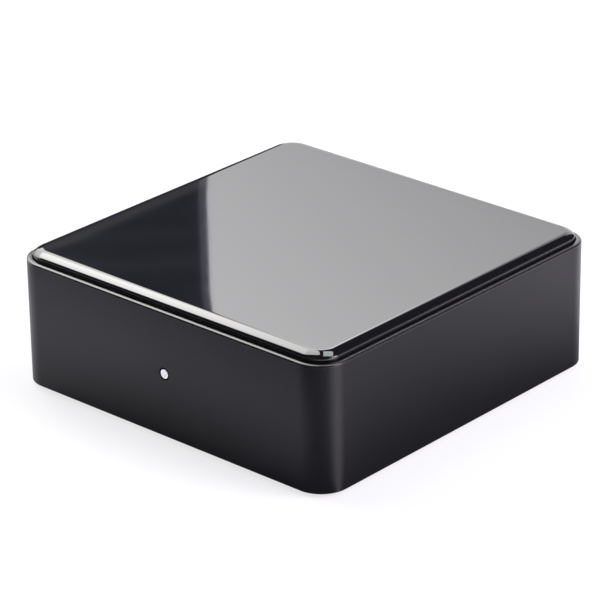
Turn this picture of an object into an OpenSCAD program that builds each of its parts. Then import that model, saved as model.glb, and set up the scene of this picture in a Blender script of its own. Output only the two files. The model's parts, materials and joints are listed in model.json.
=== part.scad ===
// Network music streamer: a square black metal sleeve with a bevelled gloss top panel, a rear panel of
// sockets, and a base plate that carries the circuit board. Millimetres, +Z up, the front faces -Y.
// The origin is on the floor, under the middle of the sleeve.

/* [Sleeve] */
// Outside width, left to right
body_w = 100; // [92:1:120]
// Outside depth, front to back
body_d = 100; // [92:1:120]
// Height of the sleeve, from its lower edge to its rim
sleeve_h = 32.5; // [30:0.5:45]
// Radius of the upright corners
corner_r = 7.5; // [6:0.5:12]
// Thickness of the sleeve's walls
wall = 2; // [1.6:0.1:3]
// Thickness of the rim that shows round the top panel
rim_wall = 1.4; // [1:0.1:1.6]
// Rounding of the rim's outer edge
rim_round = 0.6; // [0.3:0.1:0.9]
// Width of the ledge under the top panel
ledge_w = 5; // [3:0.5:8]
// Thickness of that ledge
ledge_t = 1.6; // [1:0.1:3]
// Outside diameter of the four screw bosses
boss_d = 6.4; // [5.6:0.2:8]
// From a wall's inner face to the middle of a boss
boss_offset = 5.5; // [4.5:0.1:6.2]
// Thickness of the ribs that tie a boss to the walls
boss_rib = 1.6; // [1:0.1:2.4]

/* [Top panel] */
// Thickness of the top panel
panel_t = 3; // [2.6:0.1:4]
// Height of the panel above the rim
panel_proud = 2.1; // [1.6:0.1:2.4]
// Gap between the panel and the rim
panel_gap = 0.25; // [0.1:0.05:0.4]
// Width of the panel's curved bevel
bevel_run = 2.6; // [1.6:0.1:3]
// Height of the panel's curved bevel
bevel_drop = 1.15; // [0.6:0.05:1.4]
// Thickness of the adhesive tape under the panel
tape_t = 0.3; // [0.2:0.1:0.8]
// Width of that tape
tape_w = 3.5; // [2:0.5:5]

/* [Base] */
// Thickness of the base plate
base_t = 2.5; // [2.2:0.1:4]
// Gap between the base plate and the sleeve
base_gap = 0.2; // [0.1:0.05:0.5]
// Number of vent slots
vent_count = 9; // [3:2:11]
// Length of a vent slot
vent_l = 26; // [12:1:30]
// Width of a vent slot
vent_w = 2; // [1:0.2:3]
// Distance from one vent slot to the next
vent_pitch = 5; // [4:0.5:5.5]
// Diameter of a rubber foot
foot_d = 9; // [6:0.5:12]
// Thickness of a rubber foot
foot_t = 1.6; // [1.4:0.1:2]
// Height of a rubber foot below the base plate
foot_proud = 0.8; // [0.6:0.1:1]
// From the outside of the sleeve to the middle of a foot
foot_inset = 18; // [16:1:24]

/* [Screws] */
// Shank diameter of the four base screws
base_screw_d = 2.6; // [2:0.1:3]
// Shank length of the base screws
base_screw_l = 9; // [6:0.5:14]
// Head diameter of the base screws
base_head_d = 5; // [4.2:0.1:5.6]
// Head height of the base screws
base_head_h = 1.3; // [1:0.1:1.5]
// Shank diameter of the four board screws
board_screw_d = 2.2; // [1.8:0.1:2.6]
// Shank length of the board screws
board_screw_l = 4.6; // [4:0.1:5]
// Head diameter of the board screws
board_head_d = 4.4; // [3.6:0.1:5]
// Head height of the board screws
board_head_h = 1.5; // [1:0.1:2]

/* [Circuit board] */
// Thickness of the circuit board
board_t = 1.6; // [1:0.1:2]
// Height of the standoffs under the board
standoff_h = 3.5; // [3:0.5:6]
// Diameter of the standoffs
standoff_d = 6; // [5:0.2:7]
// From the board's side edge to its screw holes
board_hole_inset = 7; // [5.5:0.5:9]
// From the middle of the board to the rear screw holes
board_hole_rear = 26; // [16:1:28]
// From the middle of the board to the front screw holes
board_hole_front = 30; // [20:1:33]

/* [Status light] */
// Height of the light above the sleeve's lower edge
light_h = 16.5; // [14:0.5:20]
// Diameter of the light pipe's lens
lens_d = 2.4; // [1.6:0.1:4]
// Gap between the lens and the hole in the sleeve
lens_gap = 0.4; // [0.1:0.05:0.5]

/* [Rear panel] */
// Width of the window in the sleeve's rear wall
window_w = 76; // [74:1:78]
// Corner radius of that window
window_r = 2.5; // [1:0.5:4]
// Gap between the rear panel and the window
window_gap = 0.15; // [0.05:0.05:0.4]
// Depth of the rear panel below the sleeve's surface
rear_recess = 0.5; // [0.3:0.1:0.8]
// Thickness of the flange behind the wall
flange_t = 1.5; // [1:0.1:2]
// Gap round each socket
port_gap = 0.25; // [0.1:0.05:0.5]
// Sideways place of the network socket
network_x = 0.5; // [-2:0.5:2]
// From the window's -X end to the middle of the optical socket
optical_x = 21; // [20:0.5:22.5]
// From the window's -X end to the middle of the line socket
line_x = 7.5; // [6:0.5:10]
// From the window's +X end to the middle of the pairing button
button_x = 19.5; // [18:0.5:22]
// From the window's +X end to the middle of the power socket
power_x = 7; // [6:0.5:10]

/* [Network socket] */
// Width of the network socket
network_w = 16; // [15.5:0.1:16.5]
// Height of the network socket
network_h = 13.5; // [13:0.1:14]
// Depth of the network socket
network_d = 21.5; // [20:0.5:24]
// Width of the opening for the plug
network_mouth_w = 11.9; // [11.7:0.1:12.2]
// Height of the opening for the plug
network_mouth_h = 6.9; // [6.7:0.1:7.2]

/* [Optical socket] */
// Width of the optical socket
optical_w = 9.7; // [9.5:0.1:10.5]
// Height of the optical socket
optical_h = 10.2; // [10:0.1:11]
// Depth of the optical socket
optical_d = 14; // [13.5:0.5:17]
// Width of its plug opening
optical_mouth_w = 8; // [7.8:0.1:8.2]
// Height of its plug opening
optical_mouth_h = 8.6; // [8.4:0.1:8.8]
// Thickness of its shutter
shutter_t = 0.9; // [0.7:0.05:1]
// Gap between the shutter and the opening
shutter_gap = 0.2; // [0.15:0.05:0.3]

/* [Line socket] */
// Diameter of the bore for a 3.5 mm plug
line_bore_d = 3.6; // [3.55:0.05:3.8]
// Depth of that bore
line_bore_l = 15; // [14:0.5:16]
// Diameter of the round nose
line_nose_d = 6; // [5.4:0.1:6.4]
// Width and height of the socket's body
line_w = 6.4; // [6:0.1:7]

/* [Power socket] */
// Width of the power socket's shell
power_w = 7.6; // [7.4:0.1:8]
// Height of the power socket's shell
power_h = 2.9; // [2.7:0.1:3.2]
// Depth of the power socket's shell
power_d = 8; // [7.5:0.5:10]

/* [Pairing button] */
// Diameter of the button
button_d = 4.6; // [4:0.1:6]
// Height of the button above the rear panel
button_proud = 0.4; // [0.2:0.05:0.45]
// Travel of the button
button_travel = 0.4; // [0.2:0.05:0.5]
// Gap between the button and its hole
button_gap = 0.15; // [0.1:0.05:0.3]
// Diameter of the switch's plunger
plunger_d = 3.4; // [2.6:0.1:4]

/* [Hidden] */
$fn = 64;

// Colours of the finishes
anodised_black = "#26262a";
gloss_black = "#0b0b0e";
moulded_black = "#1b1b1d";
rubber_black = "#151515";
steel = "#b9bcc0";
gold = "#d8b45a";
board_green = "#1f4d33";

// Levels, from the floor up
sleeve_z = foot_proud;
rim_z = sleeve_z + sleeve_h;
base_top = sleeve_z + base_t;
board_z = base_top + standoff_h;
board_top = board_z + board_t;
panel_z = rim_z + panel_proud - panel_t;
ledge_z = panel_z - tape_t;
ledge_low = ledge_z - ledge_t;

// Outlines of the sleeve's hollow, the panel's pocket and the panel
inner_w = body_w - 2 * wall;
inner_d = body_d - 2 * wall;
inner_r = corner_r - wall;
pocket_w = body_w - 2 * rim_wall;
pocket_d = body_d - 2 * rim_wall;
pocket_r = corner_r - rim_wall;
panel_w = pocket_w - 2 * panel_gap;
panel_d = pocket_d - 2 * panel_gap;
panel_r = pocket_r - panel_gap;
least_r = 1;
tape_edge = 0.4;

// The panel's bevel is an arc that starts level with the flat top
bevel_r = (pow(bevel_run, 2) + pow(bevel_drop, 2)) / (2 * bevel_drop);

// Screw bosses, and the fits of the screws
boss_x = inner_w / 2 - boss_offset;
boss_y = inner_d / 2 - boss_offset;
thread_gap = 0.05;
shank_gap = 0.2;
head_gap = 0.25;
head_sunk = 0.2;
counterbore_h = base_head_h + head_sunk;
bore_spare = 1;
recess_w = 0.7;
recess_h = 0.7;

// Feet
foot_x = body_w / 2 - foot_inset;
foot_y = body_d / 2 - foot_inset;
foot_gap = 0.1;
foot_edge = 0.4;

// Rear panel: it fills a window in the rear wall, and its flange lies against the wall's inner face, with
// its ends clear of the ribs on the bosses
rear_inner_y = body_d / 2 - wall;
rear_face_y = body_d / 2 - rear_recess;
window_low_margin = 2.1;
window_high_margin = 2.4;
window_z = board_top - window_low_margin;
window_h = window_low_margin + network_h + window_high_margin;
window_mid_z = window_z + window_h / 2;
flange_lap = 2.4;
flange_inside = 1.4;
flange_gap = 0.3;
flange_end = min(window_w / 2 + flange_lap, boss_x - boss_rib / 2 - flange_gap);
optical_mid_x = -window_w / 2 + optical_x;
line_mid_x = -window_w / 2 + line_x;
button_mid_x = window_w / 2 - button_x;
power_mid_x = window_w / 2 - power_x;
nose_recess = 0.1;
nose_y = rear_face_y - nose_recess;
clamp_t = 1.2;
clamp_gap = 0.15;
clamp_inset = 4;
clamp_below = 0.5;
clamp_w = window_w - 2 * clamp_inset;
clamp_h = standoff_h - clamp_below;

// Circuit board, cut away round the bosses
board_side_gap = 2;
board_front_gap = 4;
board_rear_gap = 0.5;
board_w = inner_w - 2 * board_side_gap;
board_y1 = rear_inner_y - flange_t - board_rear_gap;
board_y0 = -inner_d / 2 + board_front_gap;
board_d = board_y1 - board_y0;
board_mid_y = (board_y0 + board_y1) / 2;
board_x0 = -board_w / 2;
board_x1 = board_w / 2;
board_notch_gap = 1;
board_hole_gap = 0.15;
board_hole_x = board_w / 2 - board_hole_inset;
board_holes = [
    for (x = [-board_hole_x, board_hole_x])
        for (y = [-board_hole_front, board_hole_rear]) [x, board_mid_y + y]
];

// Status light: a bent light pipe over a small lamp on the board
light_z = sleeve_z + light_h;
led_inset = 2.2;
led_y = board_y0 + led_inset;
led_size = [1.6, 0.8, 0.6];
led_gap = 0.3;
pipe_rim = 0.3;
pipe_leg = lens_d + 2 * pipe_rim;
pipe_slot_w = led_size[0] + 2 * led_gap;
pipe_foot_side = 2.1;
pipe_foot_w = pipe_slot_w + 2 * pipe_foot_side;
pipe_foot_h = 0.8;
lens_sunk = 0.15;
collar_lap = 0.8;
collar_d = lens_d + 2 * (lens_gap + collar_lap);
collar_t = 1;
collar_gap = 0.15;

// Network socket, with heights above the board
shield_t = 0.3;
network_mouth_z = 3.2;
network_mouth_depth = 14;
latch_slot = [6.4, 1.4];
latch_key = [3.4, 1];
shield_lip = 0.4;
lamp_size = [3, 1, 1.8];
lamp_x = 5.2;
lamp_z = 10.9;
contact_count = 8;
contact_pitch = 1.02;
contact_w = 0.5;
contact_t = 0.35;
contact_front = 3;
contact_rear = 12;
contact_reach = 6.6;
contact_drop = 2.9;

// Optical socket: depths run inwards from the nose, heights up from the board
optical_floor = 0.8;
optical_depth = 9.8;
optical_key = 1.3;
ferrule_d = 2.4;
ferrule_boss_d = 3.8;
ferrule_boss_l = 1;
emitter_size = [6.8, 2.8, 7.4];
emitter_lens_gap = 0.1;
emitter_lens_l = 1;
optical_mid = optical_floor + optical_mouth_h / 2;
optical_top = optical_floor + optical_mouth_h;
hinge_depth = 0.9;
hinge_z = optical_top - shutter_t / 2 - shutter_gap;
pin_r = 0.45;
pin_gap = 0.05;
pin_l = 0.55;
pin_hole_l = 0.65;
shutter_w = optical_mouth_w - 2 * shutter_gap;
shutter_key_gap = 0.15;
shutter_low = optical_floor + 1.5 * shutter_gap;
shutter_key = optical_key + shutter_key_gap;

// Line socket
line_seat_gap = 0.1;
line_nose_l = nose_y - rear_inner_y + line_seat_gap;
line_end = 1;
line_axis_z = line_w / 2;
terminal_t = 0.3;
terminal_w = 2.4;
terminal_h = 3;
terminal_spots = [[1, 4], [1, 11], [-1, 7.5]];

// Power socket
power_wall = 0.3;
power_slope_h = 1.3;
power_slope_w = 0.85;
power_root = 1.8;
tongue_w = 5;
tongue_t = 0.7;
tongue_l = 5.4;
tongue_z = 1.45;
power_contact_count = 5;
power_contact = [0.35, 4.4, 0.1];
power_contact_pitch = 0.65;

// Pairing button and its switch
button_z = 3.9;
button_rim_lap = 0.9;
button_rim_d = button_d + 2 * button_rim_lap;
button_rim_t = 1;
button_rim_gap = 0.1;
button_tail = 0.7;
button_back = rear_inner_y - button_rim_gap - button_rim_t - button_tail;
button_edge = 0.3;
switch_size = [6.2, 4.6, 7];
switch_gap = 1.6;
switch_face = button_back - switch_gap;
plunger_gap = 0.06;
plunger_in = 1.6;

// Wireless module and its antenna
wifi_pos = [17, -14];
wifi_size = [36, 25, 1];
wifi_can_size = [24, 20, 2.4];
wifi_can_shift = 4;
can_t = 0.25;
plug_shift = [-14.5, 7];
plug_pos = [wifi_pos[0] + plug_shift[0], wifi_pos[1] + plug_shift[1]];
plug_d = 2.6;
plug_h = 1.5;
plug_tail = [1.6, 2.2, 1.3];
antenna_pos = [-18, 12];
antenna_size = [44, 10, 0.4];
lead_d = 1.2;
lead_sides = 8;
lead_steps = 3;
lead_route = [
    [2.5, -3.4, 10.1], [2.5, -2, 10.1], [2.2, 0, 10.4], [1, 3, 12], [-2, 7, 15.5], [-7, 8.5, 18],
    [-11, 7, 20], [-13, 6, 23.5], [-13, 8.5, 26.8], [-13, 10.5, 29], [-13, 11, 30.6], [-13, 11, 31.9]
];

// Parts on the board, by their middle; those near its sides keep their distance from the edge
transformer_pos = [2, 16];
transformer_size = [12.8, 7.2, 5.6];
transformer_legs = [8, 1.27];
dac_inset = 26;
dac_pos = [board_x0 + dac_inset, 10];
dac_size = [10.2, 5.3, 1.8];
dac_legs = [14, 0.65];
amplifier_inset = 16;
amplifier_pos = [board_x0 + amplifier_inset, 20];
amplifier_size = [4.9, 3.9, 1.6];
amplifier_legs = [4, 1.27];
flash_pos = [-8, -24];
flash_size = [5.2, 5.2, 1.7];
flash_legs = [4, 1.27];
capacitor_d = 6.3;
capacitor_h = 7.4;
capacitor_base = [6.6, 0.7];
capacitor_row0 = board_x0 + 12;
capacitor_row1 = board_x0 + 20;
capacitor_row2 = board_x1 - 13;
capacitor_spots = [
    [capacitor_row0, 2], [capacitor_row1, 0], [capacitor_row0, -8], [capacitor_row2, 8], [capacitor_row2, 17]
];
crystal_pos = [-9, -8];
crystal_size = [11.4, 4.7, 3.6];
inductor_inset = 24;
inductor_pos = [board_x1 - inductor_inset, 20];
inductor_size = [7, 4];
regulator_inset = 23;
regulator_pos = [board_x1 - regulator_inset, 8];
regulator_size = [6.5, 3.5, 1.6];
regulator_legs = [3, 2.3];
leg_w = 0.4;
leg_t = 0.2;
leg_out = 0.9;
chip_lift = 0.1;
resistor_size = [1.6, 0.8, 0.6];
resistor_pitch = 2.6;
resistor_rows = [[board_x0 + 13, -22, 6], [board_x0 + 13, -26, 6], [-4, 4, 4], [board_x0 + 16, 9, 2]];

// Reach of a cut past the surface that it starts from
past = 1;

module rounded_rect(w, d, r) {
    square([w - 2 * r, d], center = true);
    square([w, d - 2 * r], center = true);
    for (x = [-1, 1]) for (y = [-1, 1]) translate([x * (w / 2 - r), y * (d / 2 - r)]) circle(r);
}

// A slot with round ends, along Y
module round_slot(w, l) {
    square([w, l - w], center = true);
    for (y = [-1, 1]) translate([0, y * (l - w) / 2]) circle(w / 2);
}

module ring(w, d, r, inner_w, inner_d, inner_r) {
    difference() {
        rounded_rect(w, d, r);
        rounded_rect(inner_w, inner_d, inner_r);
    }
}

// Carries a profile round a rounded rectangle. The profile's X runs outwards, with 0 on the corners' axes.
module edge_sweep(w, d, r) {
    half_w = w / 2 - r;
    half_d = d / 2 - r;
    for (side = [0, 180]) rotate(side) {
        translate([half_w, half_d]) rotate_extrude(angle = 90) children();
        translate([-half_w, half_d]) rotate(90) rotate_extrude(angle = 90) children();
        translate([half_w, 0]) rotate([90, 0, 0]) linear_extrude(2 * half_d, center = true) children();
        translate([0, half_d]) rotate([90, 0, 90]) linear_extrude(2 * half_w, center = true) children();
    }
}

// Stands a profile on the board at the rear: its X runs inwards from the sockets' noses, its Y runs up
module rear_profile(x, thick) {
    translate([x, nose_y, board_top]) rotate([90, 0, -90]) linear_extrude(thick, center = true) children();
}

// Draws an outline seen from behind, X sideways and Y up from the board, from depth a to depth b
module rear_outline(x, a, b) {
    translate([x, nose_y - a, board_top]) rotate([90, 0, 0]) linear_extrude(b - a) children();
}

// A box at the rear: width, depths a to b, heights low to high above the board
module rear_box(x, w, a, b, low, high) {
    translate([x - w / 2, nose_y - b, board_top + low]) cube([w, b - a, high - low]);
}

// A round bar at the rear, along the plug's way in
module rear_bar(x, z, d, a, b) {
    translate([x, nose_y - a, board_top + z]) rotate([90, 0, 0]) cylinder(d = d, h = b - a);
}

module at_corners(x, y) {
    for (sx = [-1, 1]) for (sy = [-1, 1]) translate([sx * x, sy * y, 0]) children();
}

module boss_outline() {
    circle(d = boss_d);
    translate([0, -boss_rib / 2]) square([boss_offset + wall / 2, boss_rib]);
    translate([-boss_rib / 2, 0]) square([boss_rib, boss_offset + wall / 2]);
}

module rim_profile() {
    low = rim_z - rim_round;
    translate([pocket_r, low]) square([rim_wall - rim_round, rim_round]);
    intersection() {
        translate([corner_r - rim_round, low]) circle(rim_round);
        translate([corner_r - rim_round, low]) square(rim_round);
    }
}

module side_sleeve() color(anodised_black) {
    difference() {
        union() {
            translate([0, 0, sleeve_z]) linear_extrude(ledge_z - sleeve_z)
                ring(body_w, body_d, corner_r, inner_w, inner_d, inner_r);
            translate([0, 0, ledge_z]) linear_extrude(rim_z - rim_round - ledge_z)
                ring(body_w, body_d, corner_r, pocket_w, pocket_d, pocket_r);
            edge_sweep(body_w, body_d, corner_r) rim_profile();
            translate([0, 0, ledge_low]) linear_extrude(ledge_t) ledge_outline();
            for (sx = [-1, 1]) for (sy = [-1, 1]) translate([sx * boss_x, sy * boss_y, base_top])
                rotate(sx > 0 ? (sy > 0 ? 0 : -90) : (sy > 0 ? 90 : 180))
                    linear_extrude(ledge_low - base_top) boss_outline();
        }
        at_corners(boss_x, boss_y) translate([0, 0, base_top])
            cylinder(d = base_screw_d + 2 * thread_gap, h = base_screw_l + bore_spare);
        translate([0, -body_d / 2 - past, light_z]) rotate([-90, 0, 0])
            cylinder(d = lens_d + 2 * lens_gap, h = wall + 2 * past);
        translate([0, body_d / 2 + past, window_mid_z]) rotate([90, 0, 0])
            linear_extrude(wall + 2 * past) rounded_rect(window_w, window_h, window_r);
    }
}

module ledge_outline() {
    open_w = pocket_w - 2 * ledge_w;
    open_d = pocket_d - 2 * ledge_w;
    open_r = max(pocket_r - ledge_w, least_r);
    ring(inner_w + wall, inner_d + wall, inner_r + wall / 2, open_w, open_d, open_r);
}

// Half a section through the panel's edge: flat on top, then an arc down to the upright side
module panel_profile() {
    square([panel_r - bevel_run, panel_t]);
    intersection() {
        translate([panel_r - bevel_run, panel_t - bevel_r]) circle(bevel_r);
        translate([panel_r - bevel_run, 0]) square([bevel_run, panel_t]);
    }
}

module top_panel() color(gloss_black) translate([0, 0, panel_z]) {
    edge_sweep(panel_w, panel_d, panel_r) panel_profile();
    translate([-panel_w / 2 + panel_r, -panel_d / 2 + panel_r, 0])
        cube([panel_w - 2 * panel_r, panel_d - 2 * panel_r, panel_t]);
}

module panel_tape() color("#3a3a3c") translate([0, 0, ledge_z]) linear_extrude(tape_t)
    ring(
        panel_w - 2 * tape_edge, panel_d - 2 * tape_edge, panel_r - tape_edge,
        panel_w - 2 * (tape_edge + tape_w), panel_d - 2 * (tape_edge + tape_w),
        max(panel_r - tape_edge - tape_w, least_r)
    );

module base_plate() color(moulded_black) difference() {
    union() {
        translate([0, 0, sleeve_z]) linear_extrude(base_t)
            rounded_rect(inner_w - 2 * base_gap, inner_d - 2 * base_gap, inner_r - base_gap);
        for (p = board_holes) translate([p[0], p[1], base_top]) cylinder(d = standoff_d, h = standoff_h);
        translate([-clamp_w / 2, rear_inner_y - flange_t - clamp_gap - clamp_t, base_top])
            cube([clamp_w, clamp_t, clamp_h]);
    }
    at_corners(boss_x, boss_y) {
        translate([0, 0, sleeve_z - past]) cylinder(d = base_screw_d + 2 * shank_gap, h = base_t + 2 * past);
        translate([0, 0, sleeve_z - past])
            cylinder(d = base_head_d + 2 * head_gap, h = counterbore_h + past);
    }
    at_corners(foot_x, foot_y) translate([0, 0, sleeve_z - past])
        cylinder(d = foot_d + 2 * foot_gap, h = foot_t - foot_proud + past);
    for (p = board_holes) translate([p[0], p[1], board_z - board_screw_l + board_t - bore_spare / 2])
        cylinder(d = board_screw_d + 2 * thread_gap, h = board_screw_l + past);
    for (i = [0 : vent_count - 1]) translate([(i - (vent_count - 1) / 2) * vent_pitch, 0, sleeve_z - past])
        linear_extrude(base_t + 2 * past) round_slot(vent_w, vent_l);
}

module rubber_feet() color(rubber_black) at_corners(foot_x, foot_y) {
    cylinder(d1 = foot_d - 2 * foot_edge, d2 = foot_d, h = foot_edge);
    translate([0, 0, foot_edge]) cylinder(d = foot_d, h = foot_t - foot_edge);
}

// A screw with its head's flat underside at height 0 and its shank upwards
module screw(shank_d, shank_l, head_d, head_h) {
    difference() {
        translate([0, 0, -head_h]) cylinder(d = head_d, h = head_h);
        for (turn = [0, 90]) rotate(turn) translate([-head_d / 4, -recess_w / 2, -head_h - past])
            cube([head_d / 2, recess_w, recess_h + past]);
    }
    cylinder(d = shank_d, h = shank_l);
}

module base_screws() color(steel) at_corners(boss_x, boss_y) translate([0, 0, sleeve_z + counterbore_h])
    screw(base_screw_d, base_screw_l, base_head_d, base_head_h);

module board_screws() color(steel) for (p = board_holes) translate([p[0], p[1], board_top]) mirror([0, 0, 1])
    screw(board_screw_d, board_screw_l, board_head_d, board_head_h);

module rear_panel() color(moulded_black) difference() {
    union() {
        translate([0, rear_face_y, window_mid_z]) rotate([90, 0, 0])
            linear_extrude(rear_face_y - rear_inner_y)
                rounded_rect(window_w - 2 * window_gap, window_h - 2 * window_gap, window_r - window_gap);
        translate([0, rear_inner_y, window_mid_z]) rotate([90, 0, 0]) linear_extrude(flange_t)
            ring(
                2 * flange_end, window_h + 2 * flange_lap, window_r + flange_lap,
                window_w - 2 * flange_inside, window_h - 2 * flange_inside, least_r
            );
    }
    port = rear_face_y - rear_inner_y + flange_t + past;
    rear_box(network_x, network_w + 2 * port_gap, -past, port, -port_gap, network_h + port_gap);
    rear_box(optical_mid_x, optical_w + 2 * port_gap, -past, port, -port_gap, optical_h + port_gap);
    rear_bar(line_mid_x, line_axis_z, line_nose_d + 2 * port_gap, -past, port);
    rear_outline(power_mid_x, -past, port) power_outline(-port_gap);
    rear_bar(button_mid_x, button_z, button_d + 2 * button_gap, -past, port);
}

module main_board() color(board_green) translate([0, 0, board_z]) linear_extrude(board_t) difference() {
    translate([-board_w / 2, board_y0]) square([board_w, board_d]);
    for (sx = [-1, 1]) for (sy = [-1, 1]) {
        clear_x = boss_x - boss_d / 2 - board_notch_gap;
        clear_y = boss_y - boss_d / 2 - board_notch_gap;
        translate([sx > 0 ? clear_x : -clear_x - body_w, sy > 0 ? clear_y : -clear_y - body_d])
            square([body_w, body_d]);
    }
    for (p = board_holes) translate(p) circle(d = board_screw_d + 2 * board_hole_gap);
}

module light_pipe() color("#e8e8ea") {
    translate([0, led_y, 0]) {
        for (sx = [-1, 1])
            translate([sx * (pipe_slot_w + pipe_foot_side) / 2, 0, board_top + pipe_foot_h / 2])
                cube([pipe_foot_side, pipe_leg, pipe_foot_h], center = true);
        translate([-pipe_foot_w / 2, -pipe_leg / 2, board_top + pipe_foot_h])
            cube([pipe_foot_w, pipe_leg, pipe_foot_h]);
        rotate([90, 0, 90]) linear_extrude(pipe_leg, center = true) pipe_leg_outline();
    }
    light_bar(-body_d / 2 + lens_sunk, led_y, lens_d);
    light_bar(-inner_d / 2 + collar_gap, -inner_d / 2 + collar_gap + collar_t, collar_d);
}

// A round length of the light pipe, level with the light
module light_bar(y0, y1, d) {
    translate([0, y0, light_z]) rotate([-90, 0, 0]) cylinder(d = d, h = y1 - y0);
}

// The pipe's upright leg from the side, with the slanting face that turns the light forwards
module pipe_leg_outline() {
    half = pipe_leg / 2;
    top = light_z + half;
    low = board_top + 1.5 * pipe_foot_h;
    polygon([[-half, low], [half, low], [half, top - pipe_leg], [-half, top]]);
}

module status_led() color("#f4f2e4") board_block([0, led_y], led_size, board_top);

module network_shield() color(steel) difference() {
    hollow_w = network_w - 2 * shield_t;
    rear_box(network_x, network_w, 0, network_d, 0, network_h);
    rear_box(network_x, hollow_w, shield_t, network_d - shield_t, -past, network_h - shield_t);
    rear_outline(network_x, -past, shield_t + past) network_mouth(shield_lip);
    network_lamp_spots(-past, shield_t + past);
}

// The plug opening seen from behind: the plug's body, and the stepped slot for its latch
module network_mouth(grow) {
    for (step = [
        [network_mouth_w, network_mouth_z, network_mouth_h],
        [latch_slot[0], network_mouth_z - latch_slot[1], latch_slot[1] + past],
        [latch_key[0], network_mouth_z - latch_slot[1] - latch_key[1], latch_key[1] + past]
    ]) translate([-step[0] / 2 - grow, step[1] - grow]) square([step[0] + 2 * grow, step[2] + 2 * grow]);
}

module network_lamp_spots(a, b) {
    for (sx = [-1, 1]) rear_box(network_x + sx * lamp_x, lamp_size[0], a, b, lamp_z, lamp_z + lamp_size[2]);
}

module network_body() color(moulded_black) difference() {
    rear_box(network_x, network_w - 2 * shield_t, shield_t, network_d - shield_t, 0, network_h - shield_t);
    rear_outline(network_x, -past, network_mouth_depth) network_mouth(0);
    network_lamp_spots(-past, shield_t + lamp_size[1]);
}

module network_contacts() color(gold) for (i = [0 : contact_count - 1])
    rear_profile(network_x + (i - (contact_count - 1) / 2) * contact_pitch, contact_w) contact_outline();

// One bent contact from the side: along the opening's ceiling, then back down into the plug's path
module contact_outline() {
    top = network_mouth_z + network_mouth_h;
    polygon([
        [contact_front, top], [contact_rear, top], [contact_rear, top - contact_t],
        [contact_front + 3 * contact_t, top - contact_t],
        [contact_front + contact_reach, top - contact_drop],
        [contact_front + contact_reach - contact_t, top - contact_drop - contact_t],
        [contact_front, top - 1.4 * contact_t]
    ]);
}

module network_lamps() color("#c8d9a0") network_lamp_spots(0, shield_t + lamp_size[1]);

module optical_body() color(moulded_black) difference() {
    union() {
        difference() {
            rear_box(optical_mid_x, optical_w, 0, optical_d, 0, optical_h);
            rear_outline(optical_mid_x, -past, optical_depth)
                keyed_outline(optical_mouth_w, optical_floor, optical_top, optical_key);
        }
        rear_bar(optical_mid_x, optical_mid, ferrule_boss_d, optical_depth - ferrule_boss_l,
            optical_depth + past);
    }
    rear_bar(optical_mid_x, optical_mid, ferrule_d, optical_depth - 2 * past, optical_d);
    rear_box(
        optical_mid_x, emitter_size[0], optical_d - emitter_size[1], optical_d + past,
        -past, emitter_size[2]
    );
    for (sx = [-1, 1]) hinge_bar(sx, pin_r + pin_gap, pin_hole_l);
}

// A socket opening with its two lower corners cut off, so that the plug goes in one way up
module keyed_outline(w, low, high, key) {
    polygon([
        [-w / 2, low + key], [-w / 2 + key, low], [w / 2 - key, low],
        [w / 2, low + key], [w / 2, high], [-w / 2, high]
    ]);
}

// One of the shutter's two pins, or its hole, standing out from the opening's side
module hinge_bar(side, r, l) {
    translate([optical_mid_x + side * shutter_w / 2, nose_y - hinge_depth, board_top + hinge_z])
        rotate([0, side * 90, 0]) cylinder(r = r, h = shutter_gap + l);
}

module optical_emitter() color("#7a1c22") {
    rear_box(
        optical_mid_x, emitter_size[0], optical_d - emitter_size[1], optical_d, 0, emitter_size[2]
    );
    rear_bar(
        optical_mid_x, optical_mid, ferrule_d - 2 * emitter_lens_gap,
        optical_d - emitter_size[1] - emitter_lens_l, optical_d - emitter_size[1]
    );
}

module optical_shutter() color("#2a2a2d") {
    front = hinge_depth - shutter_t / 2;
    rear_outline(optical_mid_x, front, front + shutter_t)
        keyed_outline(shutter_w, shutter_low, hinge_z, shutter_key);
    translate([optical_mid_x, nose_y - hinge_depth, board_top + hinge_z]) rotate([0, 90, 0])
        cylinder(d = shutter_t, h = shutter_w, center = true);
    for (sx = [-1, 1]) hinge_bar(sx, pin_r, pin_l);
}

module line_body() color(moulded_black) difference() {
    union() {
        rear_box(line_mid_x, line_w, line_nose_l, line_bore_l + line_end, 0, line_w);
        rear_bar(line_mid_x, line_axis_z, line_nose_d, 0, line_nose_l);
    }
    rear_bar(line_mid_x, line_axis_z, line_bore_d, -past, line_bore_l);
}

module line_terminals() color(steel) for (tab = terminal_spots)
    rear_box(
        line_mid_x + tab[0] * (line_w + terminal_t) / 2, terminal_t,
        tab[1], tab[1] + terminal_w, 0, terminal_h
    );

// The power socket seen from behind, with its sloped lower corners
module power_outline(inset) {
    half = power_w / 2 - inset;
    foot = half - power_slope_w;
    polygon([
        [-half, power_h - inset], [-half, power_slope_h], [-foot, inset],
        [foot, inset], [half, power_slope_h], [half, power_h - inset]
    ]);
}

module power_shell() color(steel) difference() {
    rear_outline(power_mid_x, 0, power_d) power_outline(0);
    rear_outline(power_mid_x, -past, power_d + past) power_outline(power_wall);
}

module power_tongue() color(moulded_black) {
    rear_outline(power_mid_x, power_d - power_root, power_d) power_outline(power_wall);
    rear_box(
        power_mid_x, tongue_w, power_d - power_root - tongue_l, power_d - power_root,
        tongue_z, tongue_z + tongue_t
    );
}

module power_contacts() color(gold) for (i = [0 : power_contact_count - 1]) {
    x = power_mid_x + (i - (power_contact_count - 1) / 2) * power_contact_pitch;
    end = power_d - power_root;
    rear_box(x, power_contact[0], end - power_contact[1], end, tongue_z - power_contact[2], tongue_z);
}

// Turned shapes of the button and its plunger start at a place along Y and run towards the rear
module turned(y) {
    translate([button_mid_x, y, board_top + button_z]) rotate([-90, 0, 0]) children();
}

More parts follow.
